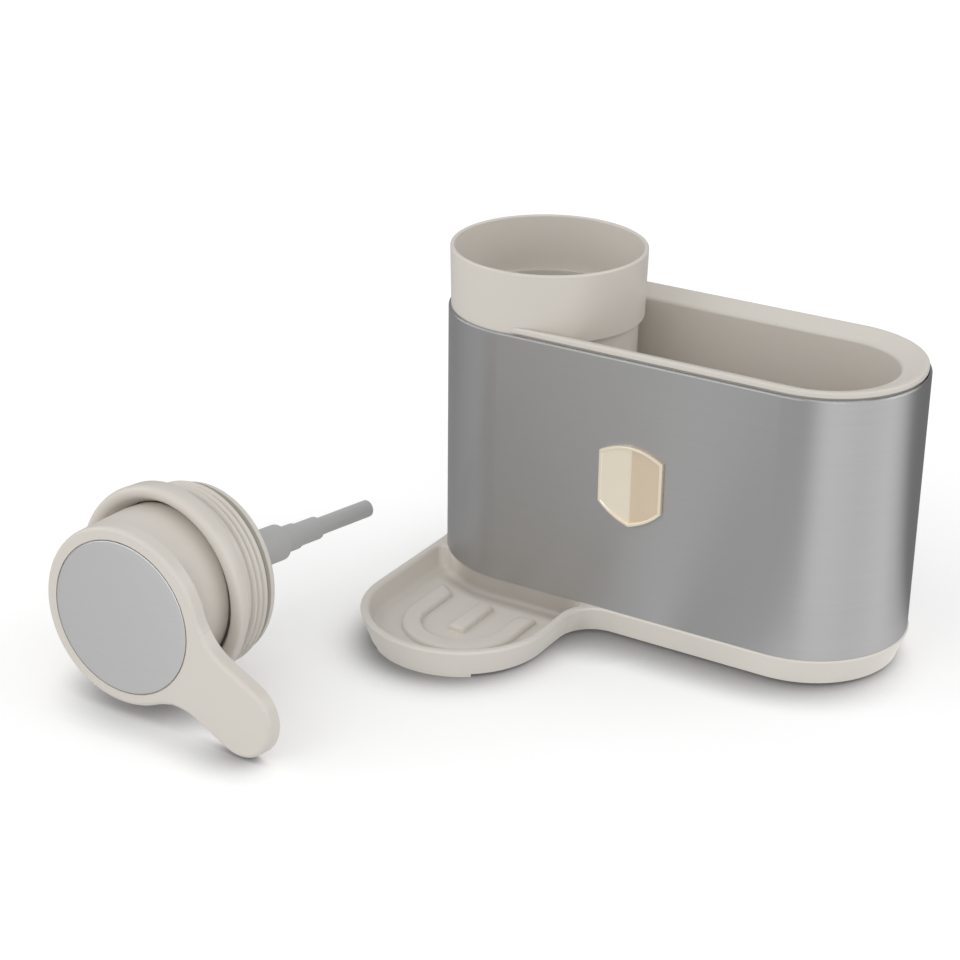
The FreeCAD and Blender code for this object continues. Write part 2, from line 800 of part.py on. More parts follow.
def return_spring():
    """Coil spring between the cylinder's shelf and the piston."""
    wire = spring_wire / 2
    shelf = -plug_depth - cylinder_length + cylinder_floor
    room = piston_top() - piston_height - shelf
    radius = cylinder_bore - wire - spring_side_gap
    low = shelf + wire + seat_gap
    height = room - spring_wire - 2 * seat_gap
    path = spring_path(radius, low, height, spring_turns)
    start = path.Edges[0].valueAt(path.Edges[0].FirstParameter)
    tangent = path.Edges[0].tangentAt(path.Edges[0].FirstParameter)
    section = Part.Wire([Part.makeCircle(wire, start, tangent)])
    gap = height / spring_turns - spring_wire
    print("spring gap between turns", round(gap, 2))
    return path.makePipeShell([section], True, False)


def face_frame(shape):
    """Moves a shape from the head's face frame to the pump's frame."""
    shape.rotate(vec(0, 0), vec(0, 1, 0), head_slant)
    shape.translate(vec(head_offset, 0, head_height))
    return shape


def bent_face_frame(shape):
    """Moves a shape of the tongue from the face frame before its bend to the pump's frame."""
    shape.rotate(vec(tongue_bend_x, 0, -head_plate), vec(0, 1, 0), -tongue_rise)
    return face_frame(shape)


def tongue_outline(inset, start, z):
    """Tongue from its start to its round end, drawn in by the inset."""
    half = tongue_half_width - inset
    end = vec(tongue_centre, 0, z)
    edges = [
        Part.makeLine(vec(start, -half, z), end + vec(0, -half)),
        arc(end, half, -90, 0, 90),
        Part.makeLine(end + vec(0, half), vec(start, half, z)),
        Part.makeLine(vec(start, half, z), vec(start, -half, z)),
    ]
    return Part.Wire(edges)


def head_outline(z):
    """Round head and tongue with hollow fillets between them."""
    reach = head_radius + tongue_fillet
    side = tongue_half_width + tongue_fillet
    centre_x = math.sqrt(reach ** 2 - side ** 2)
    turn = math.degrees(math.atan2(side, centre_x))
    end = vec(tongue_centre, 0, z)
    half = tongue_half_width
    edges = [
        arc(vec(0, 0, z), head_radius, turn, 180, 360 - turn),
        arc(vec(centre_x, -side, z), tongue_fillet, 180 - turn, (270 - turn) / 2, 90),
        Part.makeLine(vec(centre_x, -half, z), end + vec(0, -half)),
        arc(end, half, -90, 0, 90),
        Part.makeLine(end + vec(0, half), vec(centre_x, half, z)),
        arc(vec(centre_x, side, z), tongue_fillet, 270, (450 + turn) / 2, 180 + turn),
    ]
    return Part.Wire(edges)


def face_circle(radius, depth):
    """Circle in the head's face frame, moved to the pump's frame."""
    wire = Part.Wire([Part.makeCircle(radius, vec(0, 0, -depth))])
    return face_frame(wire)


def cone_between(top_radius, depth, low_radius, low_z):
    low = Part.Wire([Part.makeCircle(low_radius, vec(0, 0, low_z))])
    return Part.makeLoft([low, face_circle(top_radius, depth)], True, True)


def pump_head():
    """Head: slanted round top with a flat spout tongue, hollow skirt, boss and duct."""
    plate = Part.Face(head_outline(-head_plate)).extrude(vec(0, 0, head_plate))
    plate = plate.makeFillet(head_edge_round, edges_at_height(plate, 0))
    channel_depth = head_plate - head_top
    channel = Part.Face(tongue_outline(tongue_wall, channel_start, -head_plate))
    channel = channel.extrude(vec(0, 0, channel_depth))
    reach = 2 * tongue_centre
    beyond = box_between((tongue_bend_x, -reach, -reach), (2 * reach, reach, reach))
    tongue = bent_face_frame(plate.cut(channel).common(beyond))
    plate = face_frame(plate.cut(beyond)).fuse(tongue)
    drum = cone_between(head_radius - head_lap, head_plate - fuse_overlap, head_skirt_radius, head_cone_start)
    drum = drum.fuse(cylinder(head_skirt_radius, head_skirt_bottom, head_cone_start))
    inner_low = head_skirt_radius - head_skirt_wall
    inner_top = head_radius - head_skirt_wall - head_wall_gain
    room = cone_between(inner_top, head_top, inner_low, head_cone_start)
    room = room.fuse(cylinder(inner_low, head_skirt_bottom, head_cone_start))
    head = plate.fuse(drum).cut(room)
    boss = cylinder(head_boss_radius, head_boss_bottom, head_height - head_top / 2)
    duct = Part.makeCylinder(duct_radius, channel_start + head_offset, vec(0, 0, 0), vec(1, 0, 0))
    duct.translate(vec(-head_offset, 0, -duct_depth))
    duct = face_frame(duct)
    skin = head_skirt_wall / 2
    limit = cone_between(head_radius - skin, disc_recess, head_skirt_radius - skin, head_cone_start)
    duct = duct.common(limit)
    head = head.fuse([boss, duct])
    head = head.cut(cylinder(stem_radius + press_clearance, head_boss_bottom, stem_top + seat_gap))
    head = head.cut(cylinder(riser_bore, stem_top, head_height - duct_depth))
    bore_length = channel_start + head_offset + fuse_overlap
    bore = Part.makeCylinder(duct_bore, bore_length, vec(0, 0, 0), vec(1, 0, 0))
    bore.translate(vec(-head_offset, 0, -duct_depth))
    head = head.cut(face_frame(bore))
    recess = cylinder(disc_radius + disc_gap, -disc_recess, 2)
    head = head.cut(face_frame(recess))
    return head.removeSplitter()


def head_disc():
    """Steel disc with a gentle crown and a softened rim, set into the head's face."""
    top = disc_thickness - disc_recess
    soft = disc_edge_round
    shoulder = disc_radius - soft
    crown_radius = (shoulder ** 2 + disc_crown ** 2) / (2 * disc_crown)
    bulge = top + disc_crown - crown_radius + math.sqrt(crown_radius ** 2 - shoulder ** 2 / 4)
    outline = [
        Part.makeLine(vec(0, 0, -disc_recess), vec(disc_radius, 0, -disc_recess)),
        Part.makeLine(vec(disc_radius, 0, -disc_recess), vec(disc_radius, 0, top - soft)),
        Part.makeLine(vec(disc_radius, 0, top - soft), vec(shoulder, 0, top)),
        Part.Arc(vec(shoulder, 0, top), vec(shoulder / 2, 0, bulge), vec(0, 0, top + disc_crown)).toShape(),
        Part.makeLine(vec(0, 0, top + disc_crown), vec(0, 0, -disc_recess)),
    ]
    face = Part.Face(Part.Wire(outline))
    return face_frame(face.revolve(vec(0, 0), vec(0, 0, 1), 360))


def spout_cover():
    """Plate that closes the underside of the tongue's channel."""
    inset = tongue_wall + fit_clearance
    cover = Part.Face(tongue_outline(inset, channel_start + fit_clearance, -head_plate))
    cover = cover.extrude(vec(0, 0, cover_thickness))
    hole = cylinder(nozzle_radius + fit_clearance, -head_plate, 0, tongue_centre)
    return bent_face_frame(cover.cut(hole))


def spout_nozzle():
    """Outlet at the tongue's end, with a flange above the cover."""
    top = -head_plate + cover_thickness
    body = cylinder(nozzle_radius, -head_plate - nozzle_drop, top, tongue_centre)
    body = body.fuse(cylinder(nozzle_radius + nozzle_flange, top, top + nozzle_flange, tongue_centre))
    body = body.cut(cylinder(nozzle_bore, -head_plate - nozzle_drop, top + nozzle_flange, tongue_centre))
    low = edges_at_height(body, -head_plate - nozzle_drop)
    return bent_face_frame(body.makeFillet(nozzle_edge_round, low).removeSplitter())


def pump_axes(roll):
    """Outward axis and spout direction of the lying pump for a roll, in degrees."""
    azimuth = math.radians(pump_azimuth)
    tilt = math.radians(pump_tilt)
    outward = vec(-math.cos(tilt) * math.cos(azimuth), -math.cos(tilt) * math.sin(azimuth), math.sin(tilt))
    level = vec(math.sin(azimuth), -math.cos(azimuth), 0)
    upright = outward.cross(level)
    upright = upright if upright.z > 0 else upright * -1
    turn = math.radians(roll)
    return outward, level * math.cos(turn) - upright * math.sin(turn)


def pump_seat_z():
    return ring_radius * math.cos(math.radians(pump_tilt)) + table_gap


def tilted(outward, spout, slant):
    """Outward normal and lengthwise direction of a face that slants towards the spout."""
    angle = math.radians(slant)
    normal = outward * math.cos(angle) + spout * math.sin(angle)
    return normal, spout * math.cos(angle) - outward * math.sin(angle)


def tongue_low(roll):
    """Lowest height of the tongue's round end for a roll of the lying pump."""
    outward, spout = pump_axes(roll)
    side = outward.cross(spout)
    bend_z = pump_seat_z() + outward.z * head_height + spout.z * head_offset
    normal, along = tilted(outward, spout, head_slant)
    bend_z += along.z * tongue_bend_x - normal.z * head_plate
    normal, along = tilted(outward, spout, head_slant - tongue_rise)
    end_z = bend_z + along.z * (tongue_centre - tongue_bend_x)
    reach = tongue_half_width * math.hypot(along.z, side.z)
    return end_z - reach + min(0.0, normal.z * head_plate)


def resting_roll():
    """Roll at which the tongue's end comes down to the table."""
    low, high = 0.0, 89.0
    for step in range(40):
        middle = (low + high) / 2
        if tongue_low(middle) > table_gap:
            low = middle
        else:
            high = middle
    return low


def lay_down(shape, roll):
    """Moves a shape from the pump's frame to its place on the table."""
    outward, spout = pump_axes(roll)
    side = outward.cross(spout)
    matrix = Base.Matrix(
        spout.x, side.x, outward.x, pump_x,
        spout.y, side.y, outward.y, pump_y,
        spout.z, side.z, outward.z, pump_seat_z(),
        0, 0, 0, 1,
    )
    placed = shape.copy()
    placed.Placement = Base.Placement(matrix).multiply(shape.Placement)
    return placed


def caddy_nodes():
    return {
        "base_tray": base_tray(),
        "base_screws": base_screws(),
        "steel_sleeve": steel_sleeve(),
        "holder_liner": holder_liner(),
        "badge_plate": badge_plate(),
        "soap_bottle": soap_bottle(),
    }


def pump_nodes():
    return {
        "closure_collar": closure_collar(),
        "seal_ring": seal_ring(),
        "plug_base": plug_base(),
        "cylinder_gasket": cylinder_gasket(),
        "pump_cylinder": pump_cylinder(),
        "inlet_ball": inlet_ball(),
        "dip_tube": dip_tube(),
        "stem_guide": stem_guide(),
        "return_spring": return_spring(),
        "pump_stem": pump_stem(),
        "outlet_ball": outlet_ball(),
        "piston": piston(),
        "pump_head": pump_head(),
        "head_disc": head_disc(),
        "spout_cover": spout_cover(),
        "spout_nozzle": spout_nozzle(),
    }


def main():
    os.makedirs("parts", exist_ok=True)
    roll = resting_roll()
    nodes = caddy_nodes()
    for name, shape in pump_nodes().items():
        nodes[name] = lay_down(shape, roll)
    for name, shape in nodes.items():
        shape.exportStep("parts/" + name + ".step")
        box = shape.BoundBox
        low = [round(v, 1) for v in (box.XMin, box.YMin, box.ZMin)]
        high = [round(v, 1) for v in (box.XMax, box.YMax, box.ZMax)]
        print(name, shape.isValid(), len(shape.Solids), round(shape.Volume), low, high)
    outward, spout = pump_axes(roll)
    print("roll", round(roll, 2), "axis", [round(v, 5) for v in outward], "spout", [round(v, 5) for v in spout])
    print("seat", pump_x, pump_y, round(pump_seat_z(), 3))


main()
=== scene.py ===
import json
import math

import bmesh
import bpy
from mathutils import Matrix, Vector


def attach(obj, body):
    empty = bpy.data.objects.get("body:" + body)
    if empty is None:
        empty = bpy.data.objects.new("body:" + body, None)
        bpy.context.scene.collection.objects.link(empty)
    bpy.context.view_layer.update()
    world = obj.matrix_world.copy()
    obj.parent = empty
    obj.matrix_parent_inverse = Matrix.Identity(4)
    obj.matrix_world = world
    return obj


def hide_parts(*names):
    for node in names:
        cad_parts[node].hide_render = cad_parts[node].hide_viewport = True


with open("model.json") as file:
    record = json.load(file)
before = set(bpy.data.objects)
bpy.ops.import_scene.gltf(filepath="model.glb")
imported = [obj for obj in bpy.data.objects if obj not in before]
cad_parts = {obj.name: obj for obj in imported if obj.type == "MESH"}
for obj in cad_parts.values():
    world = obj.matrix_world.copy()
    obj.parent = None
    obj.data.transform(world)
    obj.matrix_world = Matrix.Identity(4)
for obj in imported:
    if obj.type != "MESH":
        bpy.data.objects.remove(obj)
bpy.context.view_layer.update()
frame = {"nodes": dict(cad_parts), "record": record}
nodes = frame["nodes"]
scene = bpy.context.scene
print("frame loaded with", len(nodes), "nodes")

# Camera

cameraSettings = {
    "azimuth": 31.141,  # degrees from the front towards the open pocket
    "elevation": 24.175,
    "roll": 0.67,
    "distance": 0.892157,
    "aim": (0.0, 0.0, 0.0728),
    "slide": (-0.078094, -0.01562),  # sideways and upwards in the picture's plane
    "focal": 2245.3,  # picture points
    "picture": 960,
    "sensor": 36.0,
    "clip": (0.02, 40.0),
}


def placeCamera(settings):
    azimuth = math.radians(settings["azimuth"])
    elevation = math.radians(settings["elevation"])
    roll = math.radians(settings["roll"])
    level = math.cos(elevation)
    back = Vector((math.sin(azimuth) * level, -math.cos(azimuth) * level, math.sin(elevation)))
    side = (-back).cross(Vector((0, 0, 1))).normalized()
    rise = side.cross(-back)
    right = side * math.cos(roll) + rise * math.sin(roll)
    up = rise * math.cos(roll) - side * math.sin(roll)
    spot = Vector(settings["aim"]) + back * settings["distance"]
    spot += right * settings["slide"][0] + up * settings["slide"][1]
    data = bpy.data.cameras.new("photoCamera")
    data.sensor_width = settings["sensor"]
    data.lens = settings["focal"] / settings["picture"] * settings["sensor"]
    data.clip_start, data.clip_end = settings["clip"]
    camera = bpy.data.objects.new("photoCamera", data)
    turn = Matrix((right, up, back)).transposed()
    camera.matrix_world = Matrix.Translation(spot) @ turn.to_4x4()
    scene.collection.objects.link(camera)
    scene.camera = camera


placeCamera(cameraSettings)

# Node helpers

colourMix = {"factor": 0, "first": 6, "second": 7, "result": 2}  # sockets of a mix of two colours


def newMaterial(name):
    material = bpy.data.materials.new(name)
    material.use_nodes = True
    tree = material.node_tree
    shader = next(n for n in tree.nodes if n.type == "BSDF_PRINCIPLED")
    return material, tree, shader


def addNode(tree, kind, **inputs):
    node = tree.nodes.new(kind)
    for name, value in inputs.items():
        node.inputs[name].default_value = value
    return node


def mathNode(tree, operation, first, second=0.0):
    node = tree.nodes.new("ShaderNodeMath")
    node.operation = operation
    for index, value in enumerate((first, second)):
        if isinstance(value, (int, float)):
            node.inputs[index].default_value = value
        else:
            tree.links.new(value, node.inputs[index])
    return node.outputs[0]


def ramp(tree, value, start, end, low=0.0, high=1.0):
    # Smooth step of a value between two levels
    levels = {"From Min": start, "From Max": end, "To Min": low, "To Max": high}
    node = addNode(tree, "ShaderNodeMapRange", **levels)
    node.interpolation_type = "SMOOTHSTEP"
    tree.links.new(value, node.inputs["Value"])
    return node.outputs["Result"]


def mixColours(tree, factor, first, second):
    node = tree.nodes.new("ShaderNodeMix")
    node.data_type = "RGBA"
    for socket, value in (("factor", factor), ("first", first), ("second", second)):
        entry = node.inputs[colourMix[socket]]
        if hasattr(value, "is_output"):
            tree.links.new(value, entry)
        else:
            entry.default_value = value
    return node.outputs[colourMix["result"]]


def splitVector(tree, vector):
    node = tree.nodes.new("ShaderNodeSeparateXYZ")
    tree.links.new(vector, node.inputs["Vector"])
    return node.outputs["X"], node.outputs["Y"]


def opaque(colour):
    return (*colour, 1.0)


# Shared surface effects


def newGroup(name, outputs):
    group = bpy.data.node_groups.new(name, "ShaderNodeTree")
    group.interface.new_socket(name="Vector", in_out="INPUT", socket_type="NodeSocketVector")
    for label in outputs:
        group.interface.new_socket(name=label, in_out="OUTPUT", socket_type="NodeSocketFloat")
    source = group.nodes.new("NodeGroupInput")
    return group, source.outputs["Vector"], group.nodes.new("NodeGroupOutput")


def noiseIn(tree, vector, look):
    node = addNode(tree, "ShaderNodeTexNoise", Scale=look["scale"], Detail=look["detail"],
                   Roughness=look["roughness"])
    tree.links.new(vector, node.inputs["Vector"])
    return node.outputs["Fac"]


skinNoise = {
    "Grain": {"scale": 2600.0, "detail": 3.0, "roughness": 0.6},
    "Drift": {"scale": 18.0, "detail": 2.0, "roughness": 0.5},
    "Smudge": {"scale": 60.0, "detail": 4.0, "roughness": 0.65},
}


def buildMouldSkin(looks):
    # Fine moulded grain, slow tone drift and handling smudges for plastic parts
    group, vector, sink = newGroup("mouldSkin", looks)
    for label, look in looks.items():
        group.links.new(noiseIn(group, vector, look), sink.inputs[label])
    return group


brushNoise = {
    "fine": {"scale": 1.0, "detail": 4.0, "roughness": 0.7, "share": 0.65},
    "broad": {"scale": 0.23, "detail": 2.0, "roughness": 0.5, "share": 0.35},
}


def buildBrushMarks(looks):
    # Long fine scratches with slow cloudy drift between them, for brushed metal
    group, vector, sink = newGroup("brushMarks", ["Lines", "Drift"])
    fine, broad = (noiseIn(group, vector, looks[name]) for name in ("fine", "broad"))
    both = mathNode(group, "ADD", mathNode(group, "MULTIPLY", fine, looks["fine"]["share"]),
                    mathNode(group, "MULTIPLY", broad, looks["broad"]["share"]))
    group.links.new(both, sink.inputs["Lines"])
    group.links.new(broad, sink.inputs["Drift"])
    return group


mouldSkin = buildMouldSkin(skinNoise)
brushMarks = buildBrushMarks(brushNoise)
print("shared effects built")

# Plastic

creamPlastic = {
    "light": (0.665, 0.628, 0.575),
    "dark": (0.640, 0.600, 0.547),
    "roughness": 0.33,
    "roughnessSpread": 0.08,
    "coat": 0.12,
    "coatRoughness": 0.18,
    "grainHeight": 0.00002,
    "grainStrength": 0.12,
}

# Painted light: a lighter copy of the cream plastic for the tray, standing in for light that the
# sleeve keeps off it
litTrayPlastic = dict(creamPlastic, light=(0.72, 0.682, 0.627), dark=(0.695, 0.655, 0.60))

greyPlastic = dict(creamPlastic, light=(0.50, 0.50, 0.50), dark=(0.46, 0.46, 0.46), roughness=0.45,
                   coat=0.0)

greyRubber = dict(creamPlastic, light=(0.36, 0.33, 0.29), dark=(0.31, 0.285, 0.25), roughness=0.6,
                  roughnessSpread=0.1, coat=0.0, grainHeight=0.00003)

# Settings of the painted shade under the sleeve's edge, mixed into the tray's colour
paintedShadeUnderSleeve = {
    "axisReach": 0.06,  # half length of the sleeve's middle line
    "near": 0.0405,
    "far": 0.0475,
    "left": (-0.098, -0.088),
    "right": (-0.028, -0.012),
    "front": (0.03, 0.038),  # distances in front of the middle line
    "tone": (0.375, 0.345, 0.31),
    "strength": 0.85,
}


def paintedShadeUnderSleeveMask(tree, vector, settings):
    # Painted shade: a deeper tone on the wall and floor right under the sleeve's edge, inside the
    # dish, standing in for the shade of the sleeve's overhang
    x, y = splitVector(tree, vector)
    beyond = mathNode(tree, "SUBTRACT", mathNode(tree, "ABSOLUTE", x), settings["axisReach"])
    beyond = mathNode(tree, "MAXIMUM", beyond, 0.0)
    squares = mathNode(tree, "ADD", mathNode(tree, "MULTIPLY", beyond, beyond),
                       mathNode(tree, "MULTIPLY", y, y))
    away = mathNode(tree, "SQRT", squares)
    mask = ramp(tree, away, settings["near"], settings["far"], settings["strength"], 0.0)
    mask = mathNode(tree, "MULTIPLY", mask, ramp(tree, x, *settings["left"]))
    mask = mathNode(tree, "MULTIPLY", mask, ramp(tree, x, *settings["right"], 1.0, 0.0))
    ahead = mathNode(tree, "MULTIPLY", y, -1.0)
    return mathNode(tree, "MULTIPLY", mask, ramp(tree, ahead, *settings["front"]))


def spreadRoughness(tree, shader, value, look):
    spread = mathNode(tree, "MULTIPLY", value, look["roughnessSpread"])
    rough = mathNode(tree, "ADD", spread, look["roughness"] - look["roughnessSpread"] / 2)
    tree.links.new(rough, shader.inputs["Roughness"])


def addBump(tree, shader, value, strength, height):
    bump = addNode(tree, "ShaderNodeBump", Strength=strength, Distance=height)
    tree.links.new(value, bump.inputs["Height"])
    tree.links.new(bump.outputs["Normal"], shader.inputs["Normal"])


def plasticMaterial(name, look, shade=None):
    material, tree, shader = newMaterial(name)
    place = tree.nodes.new("ShaderNodeTexCoord")
    skin = tree.nodes.new("ShaderNodeGroup")
    skin.node_tree = mouldSkin
    tree.links.new(place.outputs["Object"], skin.inputs["Vector"])
    colour = mixColours(tree, skin.outputs["Drift"], opaque(look["light"]), opaque(look["dark"]))
    # Painted shade: where these settings are given, the colour is drawn towards their shade tone
    if shade:
        mask = paintedShadeUnderSleeveMask(tree, place.outputs["Object"], shade)
        colour = mixColours(tree, mask, colour, opaque(shade["tone"]))
    tree.links.new(colour, shader.inputs["Base Color"])
    spreadRoughness(tree, shader, skin.outputs["Smudge"], look)
    addBump(tree, shader, skin.outputs["Grain"], look["grainStrength"], look["grainHeight"])
    shader.inputs["Coat Weight"].default_value = look["coat"]
    shader.inputs["Coat Roughness"].default_value = look["coatRoughness"]
    return material


# Metal

discSteel = {
    "light": (0.84, 0.84, 0.84),
    "dark": (0.78, 0.78, 0.78),
    "roughness": 0.38,
    "metallic": 1.0,
    "roughnessSpread": 0.06,
    "lineHeight": 0.00001,
    "lineStrength": 0.1,
    "stretch": (40.0, 40.0, 2600.0),
}

brushedSteel = dict(
    discSteel,
    light=(0.49, 0.49, 0.49),
    dark=(0.44, 0.44, 0.44),
    roughness=0.36,
    anisotropy=0.9,
    turn=0.25,  # highlights stretch upright, across the level brush lines
    stretch=(26.0, 26.0, 3200.0),
)

bareSteel = dict(discSteel, light=(0.56, 0.56, 0.57), dark=(0.50, 0.50, 0.50), roughness=0.3,
                 roughnessSpread=0.1, stretch=(400.0, 400.0, 400.0))

paleGold = dict(
    discSteel,
    light=(0.93, 0.86, 0.70),
    dark=(0.89, 0.81, 0.65),
    # Painted shade: the field's right face in the fold takes a deeper tone, standing in for the
    # shade it lies in
    fold=(0.0006, 0.0012),  # across these X the shield's field turns to a deeper tone
    field=(-0.0414, -0.04125),  # across these Y its rim passes into its field
    foldShadeTone=(0.80, 0.665, 0.50),
    roughness=0.3,
    metallic=0.5,
    roughnessSpread=0.08,
    stretch=(300.0, 300.0, 900.0),
)


def metalMaterial(name, look):
    material, tree, shader = newMaterial(name)
    place = tree.nodes.new("ShaderNodeTexCoord")
    stretch = addNode(tree, "ShaderNodeMapping", Scale=look["stretch"])
    tree.links.new(place.outputs["Object"], stretch.inputs["Vector"])
    marks = tree.nodes.new("ShaderNodeGroup")
    marks.node_tree = brushMarks
    tree.links.new(stretch.outputs["Vector"], marks.inputs["Vector"])
    lines = marks.outputs["Lines"]
    colour = mixColours(tree, lines, opaque(look["light"]), opaque(look["dark"]))
    # Painted shade on one face of the shield's fold
    if "fold" in look:
        x, y = splitVector(tree, place.outputs["Object"])
        inside = ramp(tree, y, *look["field"])
        paintedFoldShade = mathNode(tree, "MULTIPLY", ramp(tree, x, *look["fold"]), inside)
        colour = mixColours(tree, paintedFoldShade, colour, opaque(look["foldShadeTone"]))
    tree.links.new(colour, shader.inputs["Base Color"])
    spreadRoughness(tree, shader, marks.outputs["Drift"], look)
    addBump(tree, shader, lines, look["lineStrength"], look["lineHeight"])
    shader.inputs["Metallic"].default_value = look["metallic"]
    if "anisotropy" in look:
        around = tree.nodes.new("ShaderNodeTangent")
        around.direction_type = "RADIAL"
        around.axis = "Z"
        tree.links.new(around.outputs["Tangent"], shader.inputs["Tangent"])
        shader.inputs["Anisotropic"].default_value = look["anisotropy"]
        shader.inputs["Anisotropic Rotation"].default_value = look["turn"]
    return material


# Materials on the CAD's nodes

materials = {
    "cream_plastic": plasticMaterial("creamPlastic", creamPlastic),
    "grey_plastic": plasticMaterial("greyPlastic", greyPlastic),
    "grey_rubber": plasticMaterial("greyRubber", greyRubber),
    "brushed_steel": metalMaterial("brushedSteel", brushedSteel),
    "bare_steel": metalMaterial("bareSteel", bareSteel),
    "pale_gold": metalMaterial("paleGold", paleGold),
}
discMaterial = metalMaterial("discSteel", discSteel)
# The tray's material: the lighter copy of the cream plastic, with the painted shade under the
# sleeve's edge
trayPaintedLightAndShade = plasticMaterial("creamTrayPaintedLightAndShade", litTrayPlastic, paintedShadeUnderSleeve)


def dress(node, material):
    mesh = nodes[node].data
    mesh.materials.clear()
    mesh.materials.append(material)


for part in frame["record"]["subparts"]:
    dress(part["node"], materials[part["material_slot"]])
dress("base_tray", trayPaintedLightAndShade)
print("materials placed")

# Piece helpers

perMetre = 1000  # the pieces' sizes are in millimetres
joints = {joint["name"]: joint for joint in frame["record"]["behaviour"]["joints"]}


def pumpFrame():
    # Matrix of the lying pump: Z along its axis, X towards the side that the tongue points to
    outward = Vector(joints["head_swivel"]["axis"]).normalized()
    seat = Vector(joints["head_swivel"]["pos_m"])
    nozzle = nodes["spout_nozzle"]
    box = [nozzle.matrix_world @ Vector(corner) for corner in nozzle.bound_box]
    reach = sum(box, Vector()) / len(box) - seat
    tongue = (reach - outward * reach.dot(outward)).normalized()
    side = outward.cross(tongue)
    turn = Matrix((tongue, side, outward)).transposed().to_4x4()
    return Matrix.Translation(seat) @ turn


pumpPlace = pumpFrame()


def arcPoints(centre, radius, start, end, steps):
    points = []
    for step in range(steps + 1):
        angle = math.radians(start + (end - start) * step / steps)
        points.append((centre[0] + radius * math.cos(angle), centre[1] + radius * math.sin(angle)))
    return points


def spinShape(profile, steps, closed):
    # Solid of revolution about Z from radius and height pairs
    shape = bmesh.new()
    verts = [shape.verts.new((x / perMetre, 0.0, z / perMetre)) for x, z in profile]
    pairs = list(zip(verts, verts[1:]))
    if closed:
        pairs.append((verts[-1], verts[0]))
    edges = [shape.edges.new(pair) for pair in pairs]
    bmesh.ops.spin(shape, geom=verts + edges, axis=(0, 0, 1), cent=(0, 0, 0), angle=2 * math.pi,
                   steps=steps, use_merge=True)
    bmesh.ops.remove_doubles(shape, verts=shape.verts, dist=1e-6)
    if not closed:
        bmesh.ops.holes_fill(shape, edges=shape.edges, sides=0)
    bmesh.ops.recalc_face_normals(shape, faces=shape.faces)
    return shape


def bridgeRows(shape, rows, closed):
    # Quads between neighbouring rows of vertices, each row a closed ring
    following = rows[1:] + rows[:1] if closed else rows[1:]
    count = len(rows[0])
    for low, high in zip(rows, following):
        for step in range(count):
            after = (step + 1) % count
            shape.faces.new((low[step], low[after], high[after], high[step]))


def finishPiece(name, shape, place, material, body, replaced, sharp):
    bmesh.ops.transform(shape, matrix=place, verts=shape.verts)
    mesh = bpy.data.meshes.new(name)
    shape.to_mesh(mesh)
    shape.free()
    for polygon in mesh.polygons:
        polygon.use_smooth = True
    mesh.set_sharp_from_angle(angle=math.radians(sharp))
    mesh.materials.append(material)
    piece = bpy.data.objects.new(name, mesh)
    scene.collection.objects.link(piece)
    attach(piece, body)
    if replaced:
        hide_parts(*replaced)
    return piece


# Head disc

discShape = {
    "rim": 0.35,  # softened edge
    "rimSteps": 4,
    "crown": 0.9,
    "steps": 128,
    "rings": 10,
    "facing": 0.5,  # least outward lean of the faces that make the CAD disc's face
    "sharp": 50,
}


def faceFrame(mesh, outward, facing):
    # Centre of a plate's back and its outward direction, with its radius and thickness
    face = Vector()
    middle = Vector()
    area = 0.0
    for polygon in mesh.polygons:
        if polygon.normal.dot(outward) > facing:
            face += polygon.normal * polygon.area
            middle += polygon.center * polygon.area
            area += polygon.area
    face.normalize()
    middle /= area
    offsets = [vertex.co - middle for vertex in mesh.vertices]
    heights = [offset.dot(face) for offset in offsets]
    spread = [(offset - face * height).length for offset, height in zip(offsets, heights)]
    turn = face.to_track_quat("Z", "Y").to_matrix().to_4x4()
    place = Matrix.Translation(middle + face * min(heights)) @ turn
    return place, max(spread) * perMetre, (max(heights) - min(heights)) * perMetre


def buildHeadDisc(settings):
    outward = pumpPlace.to_3x3() @ Vector((0, 0, 1))
    place, radius, height = faceFrame(nodes["head_disc"].data, outward, settings["facing"])
    rim, crown = settings["rim"], settings["crown"]
    side = height - crown
    profile = [(radius, 0.0)]
    profile += arcPoints((radius - rim, side - rim), rim, 0, 90, settings["rimSteps"])
    for ring in range(1, settings["rings"] + 1):
        share = 1.0 - ring / settings["rings"]
        profile.append(((radius - rim) * share, side + crown * (1.0 - share ** 2)))
    shape = spinShape(profile, settings["steps"], False)
    return finishPiece("headDisc", shape, place, discMaterial, "head",
                       ["head_disc"], settings["sharp"])


headDisc = buildHeadDisc(discShape)
print("head disc spun with", len(headDisc.data.polygons), "faces")

# Closure ring with its ridged plug, heights from the plane on the bottle's rim

closureShape = {
    "well": 31.6,
    "wellTop": -6.0,
    "mouth": 32.6,
    "mouthTop": 2.6,
    "mouthEdge": 0.3,
    "ring": 39.8,
    "height": 7.7,
    "slant": 0.36,  # share of the height lost on the tongue's side and won on the other
    "shoulder": 2.4,  # rounding of the ring's outer side
    "shoulderArc": (80, 0, 8),
    "crest": 3.2,  # rounding towards the mouth
    "crestArc": (150, 90, 6),
    "underEdge": [(0.0, 0.5), (0.15, 0.15), (0.5, 0.0)],  # inset and height
    "foot": -17.0,
    "plug": 34.9,
    "seat": 33.6,
    "seatTop": -15.2,
    "ridge": 1.5,
    "ridgeTop": -7.8,
    "ridgePitch": 2.75,
    "ridges": 3,
    "ridgeSteps": 12,
    "ridgeFullness": 0.7,
    "steps": 144,
    "sharp": 40,
}


